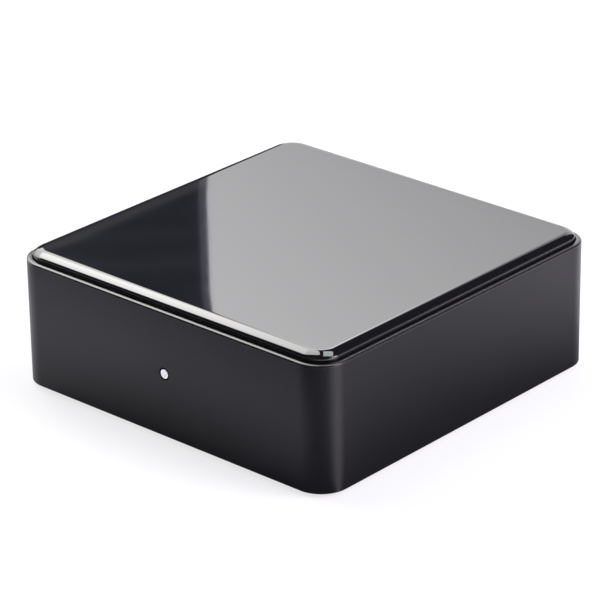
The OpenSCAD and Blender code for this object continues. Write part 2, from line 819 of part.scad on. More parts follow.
module pair_button() color("#303033") {
    face = rear_face_y + button_proud;
    turned(button_back) cylinder(d = button_d, h = face - button_edge - button_back);
    turned(face - button_edge) cylinder(d1 = button_d, d2 = button_d - 2 * button_edge, h = button_edge);
    turned(rear_inner_y - button_rim_gap - button_rim_t) cylinder(d = button_rim_d, h = button_rim_t);
}

module switch_body() color("#222224") difference() {
    translate([button_mid_x - switch_size[0] / 2, switch_face - switch_size[1], board_top])
        cube(switch_size);
    turned(switch_face - plunger_in - button_travel - plunger_gap)
        cylinder(d = plunger_d + 2 * plunger_gap, h = switch_size[1]);
}

module switch_plunger() color("#d9d4c4")
    turned(switch_face - plunger_in) cylinder(d = plunger_d, h = plunger_in + switch_gap);

module board_block(pos, size, z) {
    translate([pos[0] - size[0] / 2, pos[1] - size[1] / 2, z]) cube(size);
}

module wifi_board() color("#123a5a") board_block(wifi_pos, wifi_size, board_top);

module wifi_can() color(steel) {
    pos = [wifi_pos[0] + wifi_can_shift, wifi_pos[1]];
    z = board_top + wifi_size[2];
    difference() {
        board_block(pos, wifi_can_size, z);
        board_block(pos, wifi_can_size - [2 * can_t, 2 * can_t, 0], z - can_t);
    }
}

module antenna_plug() color(gold) translate([plug_pos[0], plug_pos[1], board_top + wifi_size[2]]) {
    cylinder(d = plug_d, h = plug_h);
    translate([-plug_tail[0] / 2, 0, 0]) cube([plug_tail[0], plug_d / 2 + plug_tail[1], plug_tail[2]]);
}

module antenna_strip() color("#c58a3a") board_block(antenna_pos, antenna_size, panel_z - antenna_size[2]);

// A point on the smooth curve through the lead's route, t counted in points from the start
function clamp_index(i, n) = max(0, min(n - 1, i));
function route_point(p, t) =
    let (n = len(p), i = min(floor(t), n - 2), s = t - i,
        a = p[clamp_index(i - 1, n)], b = p[i], c = p[i + 1], d = p[clamp_index(i + 2, n)])
    0.5 * (2 * b + (c - a) * s + (2 * a - 5 * b + 4 * c - d) * s * s + (3 * b - a - 3 * c + d) * s * s * s);
function unit(v) = v / norm(v);

// A round tube along points, its rings square to the way that the points run
module tube(points, d, sides) {
    n = len(points);
    across = unit([1, -1, 0.3]);
    rings = [for (i = [0 : n - 1])
        let (way = unit(points[min(i + 1, n - 1)] - points[max(i - 1, 0)]),
            u = unit(cross(way, across)), v = cross(way, u))
        for (k = [0 : sides - 1]) points[i] + d / 2 * (cos(360 * k / sides) * u + sin(360 * k / sides) * v)];
    walls = [for (i = [0 : n - 2]) for (k = [0 : sides - 1])
        let (a = i * sides + k, b = i * sides + (k + 1) % sides)
        each [[a, a + sides, b], [b, a + sides, b + sides]]];
    start = [for (k = [1 : sides - 2]) [0, k, k + 1]];
    last = (n - 1) * sides;
    end = [for (k = [1 : sides - 2]) [last, last + k + 1, last + k]];
    polyhedron(rings, concat(walls, start, end));
}

module antenna_lead() color("#2b2b2b") tube(
    [for (k = [0 : lead_steps * (len(lead_route) - 1)]) route_point(lead_route, k / lead_steps)],
    lead_d, lead_sides
);

// A chip with gull-wing legs along its two long sides; legs holds their number on a side and their pitch
module chip(pos, size, legs) translate([pos[0], pos[1], board_top]) {
    half = size[1] / 2;
    shoulder = size[2] / 2;
    middle = (legs[0] - 1) / 2;
    translate([-size[0] / 2, -half, chip_lift]) cube([size[0], size[1], size[2] - chip_lift]);
    for (side = [0, 180]) rotate(side) for (i = [0 : legs[0] - 1]) translate([(i - middle) * legs[1], 0, 0])
        rotate([90, 0, 90]) linear_extrude(leg_w, center = true) polygon([
            [half, shoulder], [half, shoulder - leg_t], [half + leg_out / 3, shoulder - leg_t],
            [half + leg_out / 2, 0], [half + leg_out, 0], [half + leg_out, leg_t],
            [half + leg_out * 0.65, leg_t], [half + leg_out / 2, shoulder]
        ]);
}

module network_transformer() color("#202022") chip(transformer_pos, transformer_size, transformer_legs);
module dac_chip() color("#1d1d1f") chip(dac_pos, dac_size, dac_legs);
module amplifier_chip() color("#1d1d1f") chip(amplifier_pos, amplifier_size, amplifier_legs);
module flash_chip() color("#1d1d1f") chip(flash_pos, flash_size, flash_legs);

module filter_capacitors() color("#a9adb2") for (p = capacitor_spots) {
    board_block(p, [capacitor_base[0], capacitor_base[0], capacitor_base[1]], board_top);
    translate([p[0], p[1], board_top + capacitor_base[1]])
        cylinder(d = capacitor_d, h = capacitor_h - capacitor_base[1]);
}

module clock_crystal() color(steel) translate([crystal_pos[0], crystal_pos[1], board_top])
    linear_extrude(crystal_size[2]) rotate(90) round_slot(crystal_size[1], crystal_size[0]);

module power_inductor() color("#3b3b3e") {
    side = inductor_size[0];
    board_block(inductor_pos, [side, side, inductor_size[1] / 2], board_top);
    translate([inductor_pos[0], inductor_pos[1], board_top]) cylinder(d = side, h = inductor_size[1]);
}

module voltage_regulator() color("#1d1d1f") chip(regulator_pos, regulator_size, regulator_legs);

module chip_resistors() color("#4a3f38") for (row = resistor_rows) for (i = [0 : row[2] - 1])
    board_block([row[0] + i * resistor_pitch, row[1]], resistor_size, board_top);

side_sleeve();
top_panel();
panel_tape();
base_plate();
rubber_feet();
base_screws();
rear_panel();
main_board();
board_screws();
light_pipe();
status_led();
network_shield();
network_body();
network_contacts();
network_lamps();
network_transformer();
optical_body();
optical_emitter();
optical_shutter();
line_body();
line_terminals();
power_shell();
power_tongue();
power_contacts();
pair_button();
switch_body();
switch_plunger();
wifi_board();
wifi_can();
antenna_plug();
antenna_lead();
antenna_strip();
dac_chip();
amplifier_chip();
flash_chip();
filter_capacitors();
clock_crystal();
power_inductor();
voltage_regulator();
chip_resistors();
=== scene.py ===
"""Looks of the network music streamer: its finishes, the sleeve, top panel, feet, button and lens as fine surfaces,
and a small studio seen from the photograph's angle. Lengths are in metres, in the frame of the solids."""
import json
import math

import bmesh
import bpy
import numpy as np
from mathutils import Matrix, Vector

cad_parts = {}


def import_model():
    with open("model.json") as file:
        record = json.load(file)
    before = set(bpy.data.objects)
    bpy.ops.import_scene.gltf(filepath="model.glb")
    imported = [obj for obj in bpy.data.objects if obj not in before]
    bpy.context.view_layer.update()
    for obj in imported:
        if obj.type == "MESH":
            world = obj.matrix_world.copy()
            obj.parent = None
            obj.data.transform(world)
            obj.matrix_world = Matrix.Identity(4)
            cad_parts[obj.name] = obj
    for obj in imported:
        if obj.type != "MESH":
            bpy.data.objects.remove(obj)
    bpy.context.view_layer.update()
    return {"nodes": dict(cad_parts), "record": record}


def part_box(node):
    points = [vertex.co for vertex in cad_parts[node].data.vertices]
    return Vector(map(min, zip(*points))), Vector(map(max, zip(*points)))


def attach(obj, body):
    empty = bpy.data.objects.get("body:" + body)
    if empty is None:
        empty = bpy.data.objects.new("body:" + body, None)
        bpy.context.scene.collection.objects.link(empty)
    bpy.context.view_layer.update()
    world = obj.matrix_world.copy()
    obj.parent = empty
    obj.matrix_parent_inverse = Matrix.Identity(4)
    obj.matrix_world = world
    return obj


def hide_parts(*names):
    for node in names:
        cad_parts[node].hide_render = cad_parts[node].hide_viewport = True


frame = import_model()
MM = 0.001

# Sleeve
SLEEVE_LOW, SLEEVE_HIGH = (np.array(corner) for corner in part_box("side_sleeve"))
HALF = SLEEVE_HIGH[0]
RIM_Z = SLEEVE_HIGH[2]
SLEEVE_Z = SLEEVE_LOW[2]
CORNER_R = 7.5 * MM
WALL = 2.0 * MM
RIM_WALL = 1.4 * MM
RIM_ROUND = 0.45 * MM
RIM_CROWN_R = 2.4 * MM
RIM_CROWN_TILT = 14.0
RIM_BREAK = 0.15 * MM
RIM_POLISH = (RIM_Z - 0.62 * MM, RIM_Z - 0.5 * MM)
LEDGE_W = 5.0 * MM
LEDGE_T = 1.6 * MM
EDGE_BREAK = 0.2 * MM
HOLD = 0.25 * MM

# Screw bosses inside the sleeve
BOSS_R = 3.2 * MM
BOSS_BORE_R = 1.35 * MM
BOSS_BORE_DEPTH = 10.0 * MM
BOSS_INSET = WALL + 5.5 * MM
BOSS_RIB = 1.6 * MM
BOSS_LAP = 0.3 * MM

# Rear window and the hole for the light
BASE_T = 2.5 * MM
BASE_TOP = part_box("base_plate")[0][2] + BASE_T
PANEL_LOW, PANEL_HIGH = (np.array(corner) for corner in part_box("top_panel"))
TAPE_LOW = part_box("panel_tape")[0][2]
REAR_LOW, REAR_HIGH = (np.array(corner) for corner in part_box("rear_panel"))
WINDOW_HALF = np.array([38.0, 9.0]) * MM
WINDOW_R = 2.5 * MM
WINDOW_Z = (REAR_LOW[2] + REAR_HIGH[2]) / 2
WINDOW_MARGIN = 1.6 * MM
PIPE_LOW, PIPE_HIGH = (np.array(corner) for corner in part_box("light_pipe"))
LENS_R = 1.2 * MM
LENS_REACH = 0.08 * MM
LENS_CROWN = 0.22 * MM
LIGHT_HOLE_R = LENS_R + 0.4 * MM
COLLAR_LAP = 0.8 * MM
COLLAR_T = 1.5 * MM
LIGHT_Z = PIPE_HIGH[2] - LIGHT_HOLE_R - COLLAR_LAP
LIGHT_MARGIN = 2.4 * MM
LIGHT_BREAK = 0.06 * MM
COLLAR_BACK = SLEEVE_LOW[1] + WALL + COLLAR_T
# Painted shade: the collar is black in the gap round the lens, which also stops its glow there.
COLLAR_PAINTED_SHADE = (0.008, 0.008, 0.009, 1.0)

# Top panel
PANEL_R = 5.85 * MM
BEVEL_RUN = 2.6 * MM
BEVEL_DROP = 1.15 * MM
LIP = 0.22 * MM
CROWN_ZONE = 8.0 * MM
CROWN_TILT = math.radians(0.09)

# Feet and button
FOOT_LOW, FOOT_HIGH = (np.array(corner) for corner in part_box("rubber_feet"))
FOOT_R = 4.5 * MM
FOOT_ROUND = 0.4 * MM
FOOT_DISH = 0.15 * MM
FOOT_DISH_R = FOOT_R * 0.6
FOOT_LAND_R = FOOT_R * 0.7
BUTTON_LOW, BUTTON_HIGH = (np.array(corner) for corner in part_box("pair_button"))
BUTTON_R = 2.3 * MM
BUTTON_RIM_T = 1.0 * MM
BUTTON_TAIL = 0.7 * MM
BUTTON_ROUND = 0.3 * MM
BUTTON_DISH = 0.12 * MM

# Fineness of the meshes
CORNER_STEPS = 24
ARC_STEPS = 7
TURN_STEPS = 64
TOP_LINES = 41
LIGHT_LINES = 9
WINDOW_LINES = 13
DOME_LINES = (49, 25)
MERGE = 0.0005 * MM
SHARP = math.radians(32)
NUDGE = HOLD / 9

# Camera, as the photograph's edges give it
AZIMUTH = math.radians(42.149)
ELEVATION = math.radians(24.329)
ROLL = math.radians(-0.839)
DISTANCE = 802.5 * MM
SIDEWAYS = -1.652 * MM
RAISED = 16.68 * MM
LENS_MM = 194.65
SENSOR_MM = 36.0
CLIP = (0.01, 50.0)

# Floor. Its look in gloss is painted shade that goes by heading: degrees, level, share lost near the object
# (a painted shadow), share lost far off.
FLOOR_HALF = 12.0
FLOOR_SHADE = (0.725, 0.715, 0.795, 1.0)
FLOOR_WHITE = 0.72
FLOOR_WHITE_IN_GLOSS = 0.12
FLOOR_GLOSS_PAINTED_SHADE = [(-180, 1.0, 0.2, 0.3), (-136, 1.0, 0.2, 0.6), (-127, 1.0, 0.3, 0.9), (-118, 1.0, 0.4, 0.95),
                  (-95, 0.92, 0.5, 0.95), (-68, 0.8, 0.5, 0.92), (-54, 0.36, 0.4, 0.3), (-42, 0.42, 0.5, 0.0),
                  (-28, 0.52, 0.62, 0.0), (15, 0.57, 0.65, 0.0), (50, 0.92, 0.65, 0.0), (114, 1.0, 0.5, 0.0),
                  (126, 0.1, 0.5, 0.0), (159, 0.1, 0.5, 0.0), (170, 1.0, 0.5, 0.0), (180, 1.0, 0.2, 0.3)]
# Painted shade and painted shadow in gloss: the colour seen instead of the floor, the reach of the painted shadow near
# the object, and the span of the painted shade far off.
GLOSS_PAINTED_SHADE_COLOUR = (0.01, 0.014, 0.06, 1.0)
PAINTED_SHADOW_REACH = 45.0 * MM
PAINTED_FAR_SHADE_SPAN = (30.0 * MM, 75.0 * MM)
# Painted sheen: a pale fan that gloss sees on the floor from the front right corner, lightening the right wall's
# corner: its corner, span of headings and glow.
PAINTED_SHEEN_CORNER = (49.7 * MM, -44.6 * MM)
PAINTED_SHEEN_SPAN = ((-26.0, 8.0), (20.0, 42.0))
PAINTED_SHEEN_GLOW = (3.4, 3.15, 3.4, 1.0)

# Lamps and cards
BOX_RADIUS = 1.4
CARD_RADIUS = 1.6
LEFT_TINT = (1.0, 0.99, 0.97)
RIGHT_TINT = (1.0, 0.91, 0.99)
FRONT_TINT = (0.95, 0.97, 1.0)
RIGHT_LAMP_SPOT = (1.1, 0.42, 0.76)
RIGHT_LAMP_SIZE = (0.95, 0.73)
RIGHT_LAMP_WATTS = 20.0
CARD_EDGE = 134.82
CARD_SOFT = 0.022
CARD_TINT = (1.0, 0.99, 1.0, 1.0)
ROOM_TINT = (0.86, 0.9, 1.12, 1.0)
OVERHEAD = [(-0.517, 0.689, 1.2), (-0.022, 0.771, 1.2), (0.763, 0.398, 1.2), (0.266, -0.055, 1.2)]
OVERHEAD_TINT = (0.9, 1.0, 0.96)
DIM = (0.042, 0.045, 0.058, 1.0)


def arc(centre, radius, start, end, steps):
    """Points of a circle's arc in a profile: centre + radius * (cos, sin) of angles from start to end, in degrees."""
    turn = np.radians(np.linspace(start, end, steps))
    return np.array(centre) + radius * np.stack([np.cos(turn), np.sin(turn)], axis=1)


def spread(reach, steps):
    """Offsets on a flat that lie at even angles seen from its middle: reach * tan(angle), angles within 45 degrees."""
    return reach * np.tan(np.radians(np.linspace(-45, 45, steps)))


def square_path(half, radius, sides):
    """Once round a rounded square, anticlockwise from above, beginning on the front.

    A side's points are its axis plus offsets along it. A corner's points share the corner's axis, and their outward
    normals turn from one side's to the next. Gives the axis points and the normals.
    """
    core = half - radius
    swing = np.radians(np.linspace(0, 90, CORNER_STEPS + 1)[1:-1])
    axes, normals = [], []
    for turn, offsets in zip(np.radians([-90, 0, 90, 180]), sides):
        out = np.array([np.cos(turn), np.sin(turn)])
        along = np.array([-out[1], out[0]])
        axes += [out * core + np.outer(offsets, along), np.tile((out + along) * core, (len(swing), 1))]
        normals += [np.tile(out, (len(offsets), 1)), np.stack([np.cos(turn + swing), np.sin(turn + swing)], axis=1)]
    return np.concatenate(axes), np.concatenate(normals)


def sweep(path, radius, profile):
    """Carries a profile of (inset, height) round a path: axis + (radius - inset) * normal, at the profile's height."""
    axes, normals = path
    flat = axes[:, None, :] + (radius - profile[:, 0])[None, :, None] * normals[:, None, :]
    heights = np.broadcast_to(profile[:, 1], flat.shape[:2])
    return np.concatenate([flat, heights[..., None]], axis=2)


def lathe(profile, origin, axis):
    """Turns a profile of (radius, distance along the axis): origin + axis * distance + radius * (u cos t + v sin t)."""
    axis = np.array(axis, float)
    u = np.cross(axis, [0.0, 0.0, 1.0] if abs(axis[2]) < 0.5 else [0.0, 1.0, 0.0])
    v = np.cross(axis, u)
    turn = np.linspace(0, 2 * np.pi, TURN_STEPS, endpoint=False)
    spokes = np.outer(np.cos(turn), u) + np.outer(np.sin(turn), v)
    return np.array(origin) + spokes[:, None] * profile[None, :, :1] + axis * profile[None, :, 1:]


def quads(rows, columns, ring=True, closed=False):
    """Corner numbers of a grid's cells, where point (i, j) is i * columns + j. The rows close into a ring, and the
    columns into a closed profile, where that is set."""
    i, j = np.meshgrid(np.arange(rows if ring else rows - 1), np.arange(columns if closed else columns - 1),
                       indexing="ij")
    k, m = (i + 1) % rows, (j + 1) % columns
    return np.stack([i * columns + j, k * columns + j, k * columns + m, i * columns + m], axis=-1)


def make_piece(name, points, faces, slot, body, stands_for=None):
    """Puts points and faces into a mesh, joins doubled points at seams and poles, drops unused ones, and shades it
    smooth up to sharp edges. The piece rides on its body and takes its slot's finish."""
    mesh = bpy.data.meshes.new(name)
    mesh.from_pydata(np.reshape(points, (-1, 3)).tolist(), [], [list(face) for face in faces])
    work = bmesh.new()
    work.from_mesh(mesh)
    bmesh.ops.delete(work, geom=[v for v in work.verts if not v.link_faces], context="VERTS")
    bmesh.ops.remove_doubles(work, verts=work.verts, dist=MERGE)
    work.to_mesh(mesh)
    work.free()
    mesh.shade_smooth()
    mesh.set_sharp_from_angle(angle=SHARP)
    piece = bpy.data.objects.new(name, mesh)
    bpy.context.scene.collection.objects.link(piece)
    mesh.materials.append(finishes[slot])
    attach(piece, body)
    if stands_for:
        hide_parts(stands_for)
    return piece


class Socket:
    """One output of a shader node. Arithmetic on it adds Math nodes, and node() adds any other kind."""

    def __init__(self, tree, out):
        self.tree = tree
        self.out = out

    def node(self, kind, settings, sockets, output=0):
        """A node of this kind: its settings are set first, then each socket takes its value or its link."""
        made = self.tree.nodes.new(kind)
        for key, value in settings.items():
            if key == "stops":
                ramp = made.color_ramp.elements
                while len(ramp) < len(value):
                    ramp.new(1.0)
                for stop, (place, colour) in zip(ramp, value):
                    stop.position = place
                    stop.color = colour
            else:
                setattr(made, key, value)
        for key, value in sockets.items():
            if isinstance(value, Socket):
                self.tree.links.new(value.out, made.inputs[key])
            else:
                made.inputs[key].default_value = value
        return Socket(self.tree, made.outputs[output])

    def math(self, operation, first, second):
        """A Math node on two values."""
        return self.node("ShaderNodeMath", {"operation": operation}, {0: first, 1: second})

    def __add__(self, other):
        return self.math("ADD", self, other)

    def __radd__(self, other):
        return self.math("ADD", other, self)

    def __sub__(self, other):
        return self.math("SUBTRACT", self, other)

    def __rsub__(self, other):
        return self.math("SUBTRACT", other, self)

    def __mul__(self, other):
        return self.math("MULTIPLY", self, other)

    def __rmul__(self, other):
        return self.math("MULTIPLY", other, self)


def noise(place, size, detail=2.0):
    """Soft noise from 0 to 1 whose blotches are about size metres across."""
    return place.node("ShaderNodeTexNoise", {}, {"Vector": place, "Scale": 1.0 / size, "Detail": detail})


def between(place, low, high, mask):
    """A colour that goes from low to high with the mask."""
    return place.node("ShaderNodeMix", {"data_type": "RGBA"}, {0: mask, 6: low, 7: high}, output=2)


def step(place, value, low, high):
    """A mask that rises smoothly from 0 at low to 1 at high."""
    return place.node("ShaderNodeMapRange", {"interpolation_type": "SMOOTHSTEP"},
                      {"Value": value, "From Min": low, "From Max": high})


def hill(place, value, up, down):
    """A mask that rises over the span up and falls over the span down."""
    return step(place, value, *up) * (1 - step(place, value, *down))


def shade(colour, factor):
    """A colour made lighter or darker, and kept within 1."""
    return (*[min(1.0, channel * factor) for channel in colour[:3]], 1.0)


def new_finish(name):
    """An empty material: its Principled shader node and its Object coordinates."""
    material = bpy.data.materials.new(name)
    material.use_nodes = True
    tree = material.node_tree
    shader = tree.nodes["Principled BSDF"]
    place = Socket(tree, tree.nodes.new("ShaderNodeTexCoord").outputs["Object"])
    return material, shader, place


def link(shader, **sockets):
    """Sets a shader's sockets, each to a number, a colour or a socket. An underscore in a name stands for a space."""
    for name, value in sockets.items():
        socket = shader.inputs[name.replace("_", " ")]
        if isinstance(value, Socket):
            value.tree.links.new(value.out, socket)
        else:
            socket.default_value = value


def relief(place, height, depth):
    """A normal for a relief that is depth metres high."""
    return place.node("ShaderNodeBump", {}, {"Strength": 1.0, "Distance": depth, "Height": height})


def satin_anodised(name, colour):
    """Dyed, finely blasted metal: a fine grain, faint cloudiness in the dye, and a polished rim."""
    material, shader, place = new_finish(name)
    cloud = noise(place, 28 * MM)
    grain = noise(place, 0.16 * MM, 3.0)
    height = place.node("ShaderNodeSeparateXYZ", {}, {0: place}, output=2)
    rim = step(place, height, *RIM_POLISH)
    link(shader,
         Base_Color=between(place, shade(colour, 0.045), shade(colour, 0.082), cloud * 0.7 + grain * 0.3),
         Roughness=0.3 + 0.05 * cloud + 0.05 * grain - 0.12 * rim,
         IOR=1.42,
         Coat_Weight=0.45 * rim,
         Coat_Roughness=0.22,
         Normal=relief(place, grain, 0.004 * MM))
    return material


def gloss_panel(name, colour):
    """Polished black panel: nearly mirror smooth, with a trace of waviness from its moulding."""
    material, shader, place = new_finish(name)
    wave = noise(place, 40 * MM)
    haze = noise(place, 6 * MM, 4.0)
    link(shader,
         Base_Color=between(place, shade(colour, 0.3), shade(colour, 0.5), haze),
         Roughness=0.02 + 0.02 * haze,
         IOR=1.75,
         Normal=relief(place, wave, 0.004 * MM))
    return material


def moulded(name, colour, roughness, grain_size, grain_depth):
    """Moulded plastic, rubber or ceramic: a spark-eroded grain, with faint flow marks in the colour."""
    material, shader, place = new_finish(name)
    flow = noise(place, 14 * MM, 3.0)
    grain = noise(place, grain_size, 3.0)
    link(shader,
         Base_Color=between(place, shade(colour, 0.75), shade(colour, 1.3), flow * 0.5 + grain * 0.5),
         Roughness=roughness - 0.06 + 0.12 * grain,
         Normal=relief(place, grain, grain_depth))
    return material


def metal(name, colour, roughness, brushed):
    """Plated or drawn metal: brushed marks stretched along one axis, and slight tarnish."""
    material, shader, place = new_finish(name)
    stretched = place.node("ShaderNodeMapping", {}, {"Vector": place, "Scale": brushed})
    marks = noise(stretched, 0.25 * MM, 4.0)
    tarnish = noise(place, 5 * MM, 3.0)
    link(shader,
         Base_Color=between(place, shade(colour, 0.6), shade(colour, 0.9), tarnish * 0.6 + marks * 0.4),
         Metallic=1.0,
         Roughness=roughness + 0.1 * marks + 0.06 * tarnish,
         Normal=relief(place, marks, 0.002 * MM))
    return material


def clear_plastic(name, colour, glow, collar=False):
    """Milky or tinted clear plastic with a soft inner cloud and, where it is lit, a faint glow. The light pipe's
    collar behind the wall is masked black: it stops the glow round the lens, and is painted shade in the gap round it."""
    material, shader, place = new_finish(name)
    cloud = noise(place, 1.5 * MM)
    tint = between(place, shade(colour, 0.88), shade(colour, 1.05), cloud)
    # Painted shade in the gap round the lens: the collar is masked black, which also stops its glow.
    if collar:
        from_axis = place.node("ShaderNodeVectorMath", {"operation": "MULTIPLY_ADD"},
                               {0: place, 1: (1.0, 0.0, 1.0), 2: (0.0, 0.0, -LIGHT_Z)})
        radius = place.node("ShaderNodeVectorMath", {"operation": "LENGTH"}, {0: from_axis}, output=1)
        depth = place.node("ShaderNodeSeparateXYZ", {}, {0: place}, output=1)
        outside = step(place, radius, LENS_R - 0.03 * MM, LENS_R - 0.01 * MM)
        ahead = 1 - step(place, depth, COLLAR_BACK, COLLAR_BACK + HOLD)
        tint = between(place, tint, COLLAR_PAINTED_SHADE, outside * ahead)
    link(shader, Base_Color=tint, Roughness=0.16 + 0.08 * cloud, IOR=1.49, Emission_Color=tint,
         Emission_Strength=glow)
    return material


def printed_board(name, colour):
    """Solder mask over copper: paler tracks along two axes, and a little gloss."""
    material, shader, place = new_finish(name)
    track = place.node("ShaderNodeTexBrick", {"offset": 0.37},
                       {"Vector": place, "Scale": 1.0, "Color1": (0, 0, 0, 1), "Color2": (0, 0, 0, 1),
                        "Mortar": (1, 1, 1, 1), "Mortar Size": 0.15 * MM, "Brick Width": 7 * MM,
                        "Row Height": 1.3 * MM}, output=1)
    broken = step(place, noise(place, 9 * MM), 0.45, 0.55)
    copper = track * broken
    link(shader,
         Base_Color=between(place, shade(colour, 0.9), shade(colour, 1.9), copper),
         Roughness=0.34 + 0.1 * noise(place, 3 * MM),
         Normal=relief(place, copper, 0.02 * MM))
    return material


ALONG_X = (0.04, 1.0, 1.0)
ALONG_Y = (1.0, 0.04, 1.0)
ALONG_Z = (1.0, 1.0, 0.04)
colours = {row["slot"]: row["base_color"] for row in frame["record"]["materials"]}
finishes = {
    "black_anodised": satin_anodised("black_anodised", colours["black_anodised"]),
    "gloss_black": gloss_panel("gloss_black", colours["gloss_black"]),
    "black_plastic": moulded("black_plastic", colours["black_plastic"], 0.48, 0.3 * MM, 0.012 * MM),
    "rubber": moulded("rubber", colours["rubber"], 0.78, 0.35 * MM, 0.02 * MM),
    "steel": metal("steel", colours["steel"], 0.24, ALONG_X),
    "tin": metal("tin", colours["tin"], 0.3, ALONG_X),
    "gold": metal("gold", colours["gold"], 0.2, ALONG_Y),
    "board": printed_board("board", colours["board"]),
    "module_board": printed_board("module_board", colours["module_board"]),
    "light_guide": clear_plastic("light_guide", colours["light_guide"], 0.26, collar=True),
    "lamp": clear_plastic("lamp", colours["lamp"], 0.0),
    "chip": moulded("chip", colours["chip"], 0.55, 0.12 * MM, 0.006 * MM),
    "emitter": clear_plastic("emitter", colours["emitter"], 0.3),
    "capacitor": metal("capacitor", colours["capacitor"], 0.28, ALONG_Z),
    "ferrite": moulded("ferrite", colours["ferrite"], 0.6, 0.25 * MM, 0.015 * MM),
    "tape": moulded("tape", colours["tape"], 0.9, 0.4 * MM, 0.03 * MM),
    "antenna_film": moulded("antenna_film", colours["antenna_film"], 0.3, 0.6 * MM, 0.004 * MM),
    "cable_jacket": moulded("cable_jacket", colours["cable_jacket"], 0.42, 0.2 * MM, 0.003 * MM),
    "resistor": moulded("resistor", colours["resistor"], 0.5, 0.2 * MM, 0.008 * MM),
    "plunger": moulded("plunger", colours["plunger"], 0.45, 0.2 * MM, 0.004 * MM),
}
for row in frame["record"]["subparts"]:
    node = frame["nodes"][row["node"]]
    node.data.materials.clear()
    node.data.materials.append(finishes[row["material_slot"]])


def block_ring(i0, i1, j0, j1):
    """Grid places once round a block of cells, anticlockwise with i to the right and j up."""
    i = [np.arange(i0, i1), np.full(j1 - j0, i1), np.arange(i1, i0, -1), np.full(j1 - j0, i0)]
    j = [np.full(i1 - i0, j0), np.arange(j0, j1), np.full(i1 - i0, j1), np.arange(j1, j0, -1)]
    return np.concatenate(i), np.concatenate(j)


def outline_near(spots, half, radius):
    """The nearest point of a rounded rectangle's outline to each spot, and the way out there: the spot is clamped to
    the rectangle of corner axes, and the outline lies one radius from there towards the spot."""
    core = np.clip(spots, radius - half, half - radius)
    out = spots - core
    out /= np.linalg.norm(out, axis=1, keepdims=True)
    return core + radius * out, out


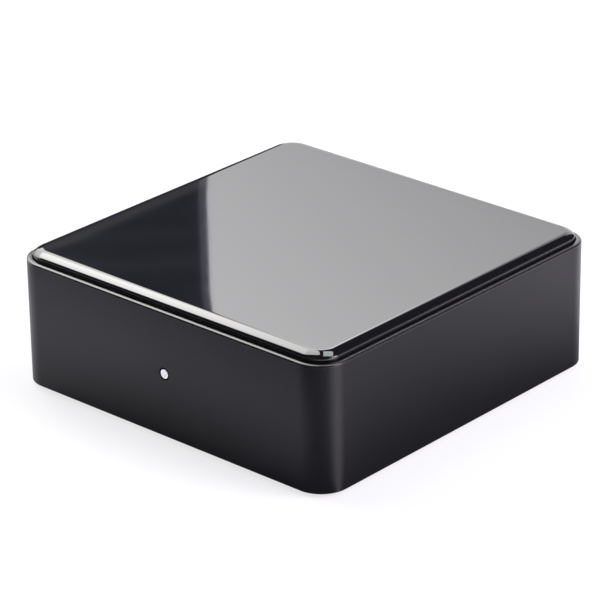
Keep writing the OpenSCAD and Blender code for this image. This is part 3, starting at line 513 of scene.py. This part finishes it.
def sleeve():
    """The sleeve: a closed profile of wall, rim, pocket and ledge carried round the rounded square. The rim is a round
    edge that runs on into a shallow crown, two arcs with one tangent where they meet. Two blocks of wall cells give
    way to the light's hole and the rear window: strips run from the block's edge on the outer wall, over a rounded
    edge and through the wall, to the block's edge on the inner wall."""
    core = HALF - CORNER_R
    ends = np.array([-core, -core + HOLD, core - HOLD, core])
    light_half = np.full(2, LIGHT_HOLE_R)
    light_lines = spread(LIGHT_HOLE_R + LIGHT_MARGIN, LIGHT_LINES)
    corner_lines = spread(WINDOW_R + WINDOW_MARGIN, WINDOW_LINES)[WINDOW_LINES // 2:]
    window_core = WINDOW_HALF - WINDOW_R
    window_x = np.concatenate([-window_core[0] - corner_lines[::-1], window_core[0] + corner_lines])
    window_z = np.concatenate([-window_core[1] - corner_lines[::-1], window_core[1] + corner_lines]) + WINDOW_Z
    front = np.sort(np.concatenate([ends, light_lines]))
    rear = np.sort(np.concatenate([ends, window_x]))
    path = square_path(HALF, CORNER_R, [front, ends, rear, ends])

    ledge_low = TAPE_LOW - LEDGE_T
    levels = np.sort(np.concatenate([window_z, LIGHT_Z + light_lines]))
    bottom = arc((EDGE_BREAK, SLEEVE_Z + EDGE_BREAK), EDGE_BREAK, 270, 180, ARC_STEPS)
    outer = np.stack([np.zeros_like(levels), levels], axis=1)
    tilt = math.radians(RIM_CROWN_TILT)
    crest = RIM_ROUND + (RIM_CROWN_R - RIM_ROUND) * math.sin(tilt)
    round_z = RIM_Z - RIM_CROWN_R + (RIM_CROWN_R - RIM_ROUND) * math.cos(tilt)
    rim = np.concatenate([
        arc((RIM_ROUND, round_z), RIM_ROUND, 180, 90 + RIM_CROWN_TILT, 2 * ARC_STEPS),
        arc((crest, RIM_Z - RIM_CROWN_R), RIM_CROWN_R, 90 + RIM_CROWN_TILT, 90, ARC_STEPS + 1)[1:],
    ])
    lip = arc((RIM_WALL - RIM_BREAK, RIM_Z - RIM_BREAK), RIM_BREAK, 90, 0, ARC_STEPS)
    profile = [
        bottom, [[0, SLEEVE_Z + EDGE_BREAK + HOLD]], outer, [[0, round_z - HOLD]], rim, lip,
        [[RIM_WALL, TAPE_LOW], [RIM_WALL + LEDGE_W, TAPE_LOW], [RIM_WALL + LEDGE_W, ledge_low], [WALL, ledge_low]],
        np.stack([np.full_like(levels, WALL), levels[::-1]], axis=1), [[WALL, SLEEVE_Z]],
    ]
    starts = np.cumsum([0] + [len(part) for part in profile])
    outer_start, inner_end = starts[2], starts[7] + len(levels) - 1
    profile = np.concatenate(profile)
    points = sweep(path, CORNER_R, profile)
    rows, columns = points.shape[:2]
    cells = quads(rows, columns, closed=True)
    kept = np.ones(cells.shape[:2], bool)
    places, extra, strips = rows * columns, [], []
    number = np.arange(rows * columns).reshape(rows, columns)

    openings = [
        (-1.0, 0, front, light_lines, LIGHT_Z, light_half, LIGHT_HOLE_R, LIGHT_Z + light_lines, LIGHT_BREAK),
        (1.0, len(front) + len(ends) + 2 * (CORNER_STEPS - 1), rear, window_x, WINDOW_Z, WINDOW_HALF, WINDOW_R,
         window_z, EDGE_BREAK),
    ]
    for side, first, offsets, x_lines, middle_z, half, radius, z_lines, edge in openings:
        i0, i1 = first + np.searchsorted(offsets, [x_lines[0] - NUDGE, x_lines[-1] - NUDGE])
        j0, j1 = np.searchsorted(levels, [z_lines[0] - NUDGE, z_lines[-1] - NUDGE])
        i, j = block_ring(i0, i1, j0, j1)
        outer_ring = number[i, outer_start + j]
        inner_ring = number[i, inner_end - j]
        kept[i0:i1, outer_start + j0:outer_start + j1] = False
        kept[i0:i1, inner_end - j1:inner_end - j0] = False
        spots = np.stack([offsets[i - first], levels[j] - middle_z], axis=1)
        nearest, out = outline_near(spots, half, radius)
        section = np.concatenate([
            [[edge + HOLD / 2, 0]], arc((edge, edge), edge, 270, 180, ARC_STEPS), [[0, WALL]]
        ])
        flat = nearest[:, None] + section[None, :, :1] * out[:, None]
        depth = np.broadcast_to(section[:, 1], flat.shape[:2])
        extra.append(np.stack([-side * flat[..., 0], side * (HALF - depth), flat[..., 1] + middle_z], axis=-1))
        inside = places + np.arange(flat[..., 0].size).reshape(flat.shape[:2])
        places += inside.size
        lanes = np.concatenate([outer_ring[:, None], inside, inner_ring[:, None]], axis=1)
        after = np.roll(lanes, -1, axis=0)
        strips.append(np.stack([lanes[:, :-1], after[:, :-1], after[:, 1:], lanes[:, 1:]], axis=-1).reshape(-1, 4))

    for shell_points, shell_faces in screw_bosses(ledge_low):
        extra.append(shell_points)
        strips.append(shell_faces + places)
        places += len(shell_points)
    points = np.concatenate([points.reshape(-1, 3)] + [block.reshape(-1, 3) for block in extra])
    make_piece("sleeve", points, np.concatenate([cells[kept]] + strips), "black_anodised", "housing", "side_sleeve")


def screw_bosses(top):
    """Four bosses under the ledge. A boss's outline is its circle with two ribs that run into the walls, and the
    outline is carried from the bore's end, down the bore, out over the foot, and up to the ledge."""
    half = BOSS_RIB / 2
    reach = BOSS_INSET - WALL + BOSS_LAP
    lean = math.degrees(math.asin(half / BOSS_R))
    outline = np.concatenate([
        [[reach, -half], [reach, half]], arc((0, 0), BOSS_R, lean, 90 - lean, ARC_STEPS),
        [[half, reach], [-half, reach]], arc((0, 0), BOSS_R, 90 + lean, 360 - lean, 4 * ARC_STEPS),
    ])
    bore = BOSS_BORE_R * outline / np.linalg.norm(outline, axis=1, keepdims=True)
    lanes = [(0 * bore, BASE_TOP + BOSS_BORE_DEPTH), (bore, BASE_TOP + BOSS_BORE_DEPTH), (bore, BASE_TOP),
             (outline, BASE_TOP), (outline, top + BOSS_LAP), (0 * outline, top + BOSS_LAP)]
    flat = np.stack([ring for ring, _ in lanes], axis=1)
    heights = np.broadcast_to([z for _, z in lanes], flat.shape[:2])[..., None]
    faces = quads(len(outline), len(lanes)).reshape(-1, 4)
    middle = HALF - BOSS_INSET
    for quarter in range(4):
        turn = quarter * math.pi / 2
        spin = np.array([[math.cos(turn), math.sin(turn)], [-math.sin(turn), math.cos(turn)]])
        yield np.concatenate([(flat + middle) @ spin, heights], axis=2).reshape(-1, 3), faces


def crown(offsets):
    """How far the top falls away near an edge: nothing up to the crown's zone, then as the square of the distance,
    so that the tilt at the bevel's start is the crown's tilt."""
    start = PANEL_HIGH[0] - BEVEL_RUN - CROWN_ZONE
    return CROWN_TILT / (2 * CROWN_ZONE) * np.maximum(np.abs(offsets) - start, 0) ** 2


def gloss_top():
    """The top panel: a profile of underside, upright edge, rounded lip and bevel arc carried round the rounded square
    as far in as the corners' axes, and a square grid over the rest. The grid and the bevel fall by the crown."""
    low, high = PANEL_LOW[2], PANEL_HIGH[2]
    half = PANEL_HIGH[0]
    core = half - PANEL_R
    bevel_r = (BEVEL_RUN ** 2 + BEVEL_DROP ** 2) / (2 * BEVEL_DROP)
    steepest = math.degrees(math.asin(BEVEL_RUN / bevel_r))
    lip_turn = math.degrees(LIP / bevel_r)
    bevel = arc((BEVEL_RUN, high - bevel_r), bevel_r, 90 + steepest - lip_turn, 90, 4 * ARC_STEPS)
    corner = np.array([0, high - BEVEL_DROP])
    bend = np.linspace(0, 1, ARC_STEPS)[:-1, None]
    lip = (1 - bend) ** 2 * (corner - [0, LIP]) + 2 * bend * (1 - bend) * corner + bend ** 2 * bevel[0]
    inward = np.linspace(0, 1, ARC_STEPS)[1:, None] ** 1.5 * [PANEL_R - BEVEL_RUN, 0] + [BEVEL_RUN, high]
    profile = np.concatenate([
        [[EDGE_BREAK + HOLD, low]], arc((EDGE_BREAK, low + EDGE_BREAK), EDGE_BREAK, 270, 180, ARC_STEPS),
        [[0, low + EDGE_BREAK + HOLD], [0, high - BEVEL_DROP - LIP - HOLD]], lip, bevel, inward,
    ])
    lines = core * np.sin(np.radians(np.linspace(-90, 90, TOP_LINES)))
    rim = sweep(square_path(half, PANEL_R, [lines] * 4), PANEL_R, profile)
    upper = len(profile) - len(bevel) - len(inward)
    rim[:, upper:, 2] -= crown(rim[:, upper:, 0]) + crown(rim[:, upper:, 1])
    x, y = np.meshgrid(lines, lines, indexing="ij")
    flat = np.stack([x, y, high - crown(x) - crown(y)], axis=-1)
    rows, columns = rim.shape[:2]
    faces = np.concatenate([
        quads(rows, columns).reshape(-1, 4),
        quads(TOP_LINES, TOP_LINES, ring=False).reshape(-1, 4) + rows * columns,
    ]).tolist()
    faces.append((np.arange(rows)[::-1] * columns).tolist())
    make_piece("gloss_top", np.concatenate([rim.reshape(-1, 3), flat.reshape(-1, 3)]), faces, "gloss_black",
               "housing", "top_panel")


def turned_piece(name, profile, origins, axis, slot, body, stands_for=None):
    """One lathe surface for each origin, joined in one mesh."""
    shells = np.stack([lathe(profile, origin, axis) for origin in origins])
    cells = quads(TURN_STEPS, len(profile)).reshape(-1, 4)
    shift = np.arange(len(shells))[:, None, None] * TURN_STEPS * len(profile)
    make_piece(name, shells, (cells[None] + shift).reshape(-1, 4), slot, body, stands_for)


def feet():
    """Rubber feet: a disc with a shallow dish underneath and rounded edges."""
    thick = FOOT_HIGH[2] - FOOT_LOW[2]
    dish = np.linspace(0, 1, ARC_STEPS)[:, None] * [FOOT_DISH_R, 0] + [0, FOOT_DISH]
    land = np.array([[FOOT_LAND_R, 0]])
    lower = arc((FOOT_R - FOOT_ROUND, FOOT_ROUND), FOOT_ROUND, 270, 360, ARC_STEPS)
    upper = np.array([[FOOT_R, thick - EDGE_BREAK], [FOOT_R - EDGE_BREAK, thick], [0, thick]])
    profile = np.concatenate([dish, land, lower, upper])
    middle = FOOT_HIGH[0] - FOOT_R
    origins = [(x * middle, y * middle, FOOT_LOW[2]) for x in (-1, 1) for y in (-1, 1)]
    turned_piece("feet", profile, origins, (0, 0, 1), "rubber", "housing", "rubber_feet")


def button():
    """The pairing button: a stem, a rim that stops it behind the panel, and a dished face with a rounded edge."""
    length = BUTTON_HIGH[1] - BUTTON_LOW[1]
    rim_r = (BUTTON_HIGH[0] - BUTTON_LOW[0]) / 2
    rim = np.array([[BUTTON_R, BUTTON_TAIL], [rim_r - EDGE_BREAK, BUTTON_TAIL], [rim_r, BUTTON_TAIL + EDGE_BREAK],
                    [rim_r, BUTTON_TAIL + BUTTON_RIM_T - EDGE_BREAK],
                    [rim_r - EDGE_BREAK, BUTTON_TAIL + BUTTON_RIM_T], [BUTTON_R, BUTTON_TAIL + BUTTON_RIM_T]])
    edge = arc((BUTTON_R - BUTTON_ROUND, length - BUTTON_ROUND), BUTTON_ROUND, 0, 90, ARC_STEPS)
    run = np.linspace(1, 0, ARC_STEPS)[1:]
    dish = np.stack([run * (BUTTON_R - BUTTON_ROUND), length - BUTTON_DISH * (1 - run ** 2)], axis=1)
    profile = np.concatenate([[[0, 0], [BUTTON_R, 0]], rim, edge, dish])
    middle = (BUTTON_LOW + BUTTON_HIGH) / 2
    origin = (middle[0], BUTTON_LOW[1], middle[2])
    turned_piece("button", profile, [origin], (0, 1, 0), "black_plastic", "pairing_key", "pair_button")


def lens():
    """The crowned front of the light pipe: a shallow dome on the rod's end, falling as the square of the radius."""
    run = np.linspace(1, 0, 2 * ARC_STEPS)
    dome = np.stack([run * LENS_R, LENS_REACH + LENS_CROWN * (1 - run ** 2)], axis=1)
    profile = np.concatenate([[[0, 0], [LENS_R, 0]], dome])
    turned_piece("lens", profile, [(0, PIPE_LOW[1], LIGHT_Z)], (0, -1, 0), "light_guide", "housing")


sleeve()
gloss_top()
feet()
button()
lens()


def camera():
    """The camera at the photograph's angle: its place is back * distance, then sideways and up in its own plane."""
    back = np.array([math.sin(AZIMUTH) * math.cos(ELEVATION), -math.cos(AZIMUTH) * math.cos(ELEVATION),
                     math.sin(ELEVATION)])
    right = np.array([math.cos(AZIMUTH), math.sin(AZIMUTH), 0.0])
    up = np.cross(back, right)
    right, up = (right * math.cos(ROLL) + up * math.sin(ROLL), up * math.cos(ROLL) - right * math.sin(ROLL))
    spot = back * DISTANCE + right * SIDEWAYS + up * RAISED + [0, 0, SLEEVE_Z]
    data = bpy.data.cameras.new("camera")
    data.lens = LENS_MM
    data.sensor_width = SENSOR_MM
    data.clip_start, data.clip_end = CLIP
    view = bpy.data.objects.new("camera", data)
    bpy.context.scene.collection.objects.link(view)
    place = np.eye(4)
    place[:3] = np.stack([right, up, back, spot], axis=1)
    view.matrix_world = Matrix(place.tolist())
    bpy.context.scene.camera = view


def stage_piece(name, points, faces, material):
    """A surface of the studio."""
    mesh = bpy.data.meshes.new(name)
    mesh.from_pydata(np.reshape(points, (-1, 3)).tolist(), [], faces)
    mesh.materials.append(material)
    mesh.shade_smooth()
    piece = bpy.data.objects.new(name, mesh)
    bpy.context.scene.collection.objects.link(piece)
    return piece


def floor():
    """A pale floor. What the camera sees of it is mostly an even white, gloss and glass see some of that white, and
    the rest takes the light and the shadow. In gloss the floor has painted shade by its heading, a painted shadow
    close to the object and painted shade far from it, and a painted sheen, a pale fan, opens from the front right
    corner."""
    material, shader, place = new_finish("floor")
    tree = material.node_tree
    link(shader, Base_Color=between(place, shade(FLOOR_SHADE, 0.98), FLOOR_SHADE, noise(place, 0.2)), Roughness=1.0,
         Specular_IOR_Level=0.0)
    path = tree.nodes.new("ShaderNodeLightPath")
    seen, glossy, through = (Socket(tree, path.outputs["Is " + ray + " Ray"])
                             for ray in ("Camera", "Glossy", "Transmission"))
    share = seen.math("MAXIMUM", seen * FLOOR_WHITE, seen.math("MAXIMUM", glossy, through) * FLOOR_WHITE_IN_GLOSS)
    white = place.node("ShaderNodeEmission", {}, {"Color": (1, 1, 1, 1), "Strength": 1.0})
    pale = place.node("ShaderNodeMixShader", {}, {0: share, 1: Socket(tree, shader.outputs[0]), 2: white})
    x, y = (place.node("ShaderNodeSeparateXYZ", {}, {0: place}, output=axis) for axis in (0, 1))
    turn = 0.5 + place.math("ARCTAN2", y, x) * (0.5 / math.pi)
    stops = [(0.5 + heading / 360, (*levels, 1.0)) for heading, *levels in FLOOR_GLOSS_PAINTED_SHADE]
    around = place.node("ShaderNodeValToRGB", {"stops": stops}, {0: turn})
    level, near_share, far_share = (place.node("ShaderNodeSeparateColor", {}, {0: around}, output=k) for k in range(3))
    # Painted shadow close to the object and painted shade far off, seen only in gloss.
    out = place.math("MAXIMUM", place.math("ABSOLUTE", x, 0.0), place.math("ABSOLUTE", y, 0.0)) - HALF
    near = 1 - step(place, out, 0.0, PAINTED_SHADOW_REACH)
    far = step(place, out, *PAINTED_FAR_SHADE_SPAN)
    # Painted sheen: a pale fan from the front right corner, seen only in gloss.
    swing = place.math("ARCTAN2", y - PAINTED_SHEEN_CORNER[1], x - PAINTED_SHEEN_CORNER[0]) * math.degrees(1)
    fan = hill(place, swing, *PAINTED_SHEEN_SPAN) * (1 - 0.5 * near)
    # Painted shade in gloss, with the painted sheen in it, stands in for the floor by the share 1 - kept.
    dark = place.node("ShaderNodeEmission", {}, {"Color": between(place, GLOSS_PAINTED_SHADE_COLOUR, PAINTED_SHEEN_GLOW, fan),
                                                 "Strength": 1.0})
    kept = level * (1 - near_share * near) * (1 - far_share * far)
    mixed = place.node("ShaderNodeMixShader", {}, {0: glossy * (1 - kept), 1: pale, 2: dark})
    tree.links.new(mixed.out, tree.nodes["Material Output"].inputs["Surface"])
    reach = FLOOR_HALF
    stage_piece("floor", [(-reach, -reach, 0), (reach, -reach, 0), (reach, reach, 0), (-reach, reach, 0)],
                [(0, 1, 2, 3)], material)


def glowing(name):
    """A clear material that glows, and hides nothing where it doesn't: its Emission node and Object coordinates."""
    material = bpy.data.materials.new(name)
    material.use_nodes = True
    tree = material.node_tree
    tree.nodes.remove(tree.nodes["Principled BSDF"])
    glow = tree.nodes.new("ShaderNodeEmission")
    clear = tree.nodes.new("ShaderNodeBsdfTransparent")
    both = tree.nodes.new("ShaderNodeAddShader")
    tree.links.new(glow.outputs[0], both.inputs[0])
    tree.links.new(clear.outputs[0], both.inputs[1])
    tree.links.new(both.outputs[0], tree.nodes["Material Output"].inputs["Surface"])
    return material, glow, Socket(tree, tree.nodes.new("ShaderNodeTexCoord").outputs["Object"])


def brightened(place, colour, strength):
    """A colour times a strength."""
    return place.node("ShaderNodeVectorMath", {"operation": "SCALE"}, {0: colour, "Scale": strength})


def hide_from_camera(card):
    """Makes a card that the camera doesn't see and that throws no shadow."""
    card.visible_camera = False
    card.visible_shadow = False


def dome_card(name, radius, headings, rises, paint):
    """A softbox bent round the object: radius * (cos e cos h, cos e sin h, sin e) over a span of headings h, counted
    from +X towards +Y, and of rises e above the floor. The paint function gives its colour and strength from the
    heading and the rise, in degrees."""
    h, e = np.meshgrid(*[np.radians(np.linspace(*span, lines)) for span, lines in zip((headings, rises), DOME_LINES)],
                       indexing="ij")
    points = radius * np.stack([np.cos(e) * np.cos(h), np.cos(e) * np.sin(h), np.sin(e)], axis=-1)
    material, glow, place = glowing(name)
    middle = sum(headings) / 2
    ahead = (math.cos(math.radians(middle)), math.sin(math.radians(middle)), 0.0)
    aside = (-ahead[1], ahead[0], 0.0)
    along, across = (place.node("ShaderNodeVectorMath", {"operation": "DOT_PRODUCT"}, {0: place, 1: way}, output=1)
                     for way in (ahead, aside))
    height = place.node("ShaderNodeSeparateXYZ", {}, {0: place}, output=2)
    heading = place.math("ARCTAN2", across, along) * math.degrees(1) + middle
    rise = place.math("ARCSINE", height * (1 / radius), 0.0) * math.degrees(1)
    colour, strength = paint(place, heading, rise)
    link(glow, Color=brightened(place, colour, strength))
    faces = quads(*points.shape[:2], ring=False).reshape(-1, 4).tolist()
    hide_from_camera(stage_piece(name, points, faces, material))


def left_box(place, heading, rise):
    """The large softbox at the left: brightest along its upper middle, and wider above than below."""
    right_edge = (165.0 - 11.0 * step(place, rise, 0.0, 16.0) - 15.2 * step(place, rise, 17.5, 27.0)
                  - 5.3 * step(place, rise, 30.0, 36.0))
    left_edge = 206.0 + 4.0 * step(place, rise, 50.0, 60.0)
    inside = step(place, heading - right_edge, -0.5, 0.5) * (1 - step(place, heading - left_edge, -3.0, 3.0))
    aside = heading - 182.0
    above = rise - (52.4 - 0.0085 * (aside * aside))
    level = (1.4 + 2.6 * step(place, rise, 0.0, 34.0) + 5.2 * step(place, rise, 33.0, 47.0)
             - 4.3 * step(place, above, -3.0, 7.0))
    ends = hill(place, rise, (3.0, 9.0), (84.5, 86.5))
    return LEFT_TINT, inside * level * ends


def back_card(place, heading, rise):
    """The grey card that the flat top mirrors, paler to the left and dimmer towards its upper right end. Left of its
    edge is the dim room, with streaks, a paler border and a slanted band."""
    grey = step(place, heading, CARD_EDGE - CARD_SOFT, CARD_EDGE + CARD_SOFT)
    back = step(place, heading, 120.0, 126.0)
    pale = (1.94 + 0.066 * place.math("MAXIMUM", heading - 128.0, -4.0)
            + 0.155 * place.math("MAXIMUM", rise - 24.0, -2.2) * back)
    above = rise - 2.9 * (1 - step(place, heading, 124.0, 130.0))
    bounds = ((1 + 0.4 * step(place, rise, 27.0, 32.0) * back) * (1 - step(place, above, 33.0, 38.0))
              * (1 - 0.28 * step(place, rise, 23.0, 31.0) * (1 - back)) * step(place, heading, 97.0, 101.5))
    flat = place.node("ShaderNodeMapping", {}, {"Vector": place, "Scale": (1.0, 1.0, 14.0)})
    streaks = step(place, noise(flat, 0.5), 0.45, 0.75)
    border = 1 - step(place, heading, CARD_EDGE + 0.2, CARD_EDGE + 0.28)
    slant = rise - 0.35 * heading
    band = hill(place, slant, (-25.0, -24.5), (-24.36, -24.27))
    dim = 0.02 + 0.12 * streaks + 0.22 * border + 0.14 * band
    colour = between(place, CARD_TINT, ROOM_TINT, grey * (1 - band))
    return colour, (pale * (1 - grey) + dim * grey) * bounds


def right_box(place, heading, rise):
    """The softbox at the right: an even field, a dimmer card further round, and a small bright patch high up for the
    rim at the front corner."""
    field = hill(place, heading, (-12.0, 14.0), (22.0, 44.0)) * (1 - step(place, rise, 49.0, 53.0))
    card = hill(place, heading, (38.0, 42.0), (62.0, 68.0)) * hill(place, rise, (16.0, 20.0), (31.0, 34.0))
    patch = hill(place, heading, (17.0, 21.0), (41.0, 45.0)) * hill(place, rise, (36.0, 39.0), (46.0, 49.0))
    return RIGHT_TINT, 2.4 * field + 1.2 * card + 13.0 * patch


def front_card(place, heading, rise):
    """A dim card in front, which the top mirrors when it is seen from behind."""
    inside = hill(place, heading, (-112.0, -96.0), (-52.0, -38.0))
    return FRONT_TINT, 0.3 * inside * (1 - step(place, rise, 12.0, 46.0))


def right_lamp():
    """A wide soft lamp beside the right softbox. It lights matt surfaces, and gloss doesn't mirror it."""
    data = bpy.data.lights.new("right_lamp", "AREA")
    data.shape = "RECTANGLE"
    data.size, data.size_y = RIGHT_LAMP_SIZE
    data.energy = RIGHT_LAMP_WATTS
    data.color = RIGHT_TINT
    lamp = bpy.data.objects.new("right_lamp", data)
    bpy.context.scene.collection.objects.link(lamp)
    spot = Vector(RIGHT_LAMP_SPOT)
    lamp.matrix_world = Matrix.Translation(spot) @ spot.to_track_quat("Z", "Y").to_matrix().to_4x4()
    lamp.visible_glossy = False
    lamp.visible_camera = False


def overhead_box():
    """The small softbox overhead that shows at the front corner of the bevel."""
    material, glow, place = glowing("overhead")
    link(glow, Color=brightened(place, OVERHEAD_TINT, 4.4 + 0.4 * noise(place, 0.2)))
    hide_from_camera(stage_piece("overhead", OVERHEAD, [(0, 1, 2, 3)], material))


def world():
    """Dim room around the studio."""
    sky = bpy.data.worlds.new("room")
    sky.use_nodes = True
    sky.node_tree.nodes["Background"].inputs["Color"].default_value = DIM
    bpy.context.scene.world = sky


camera()
floor()
dome_card("left_box", BOX_RADIUS, (130.0, 250.0), (0.0, 88.0), left_box)
dome_card("back_card", CARD_RADIUS, (95.0, 150.0), (0.0, 46.0), back_card)
dome_card("right_box", BOX_RADIUS, (-14.0, 72.0), (0.5, 54.0), right_box)
dome_card("front_card", CARD_RADIUS, (-115.0, -35.0), (2.0, 48.0), front_card)
right_lamp()
overhead_box()
world()
bpy.context.scene.view_settings.view_transform = "Standard"
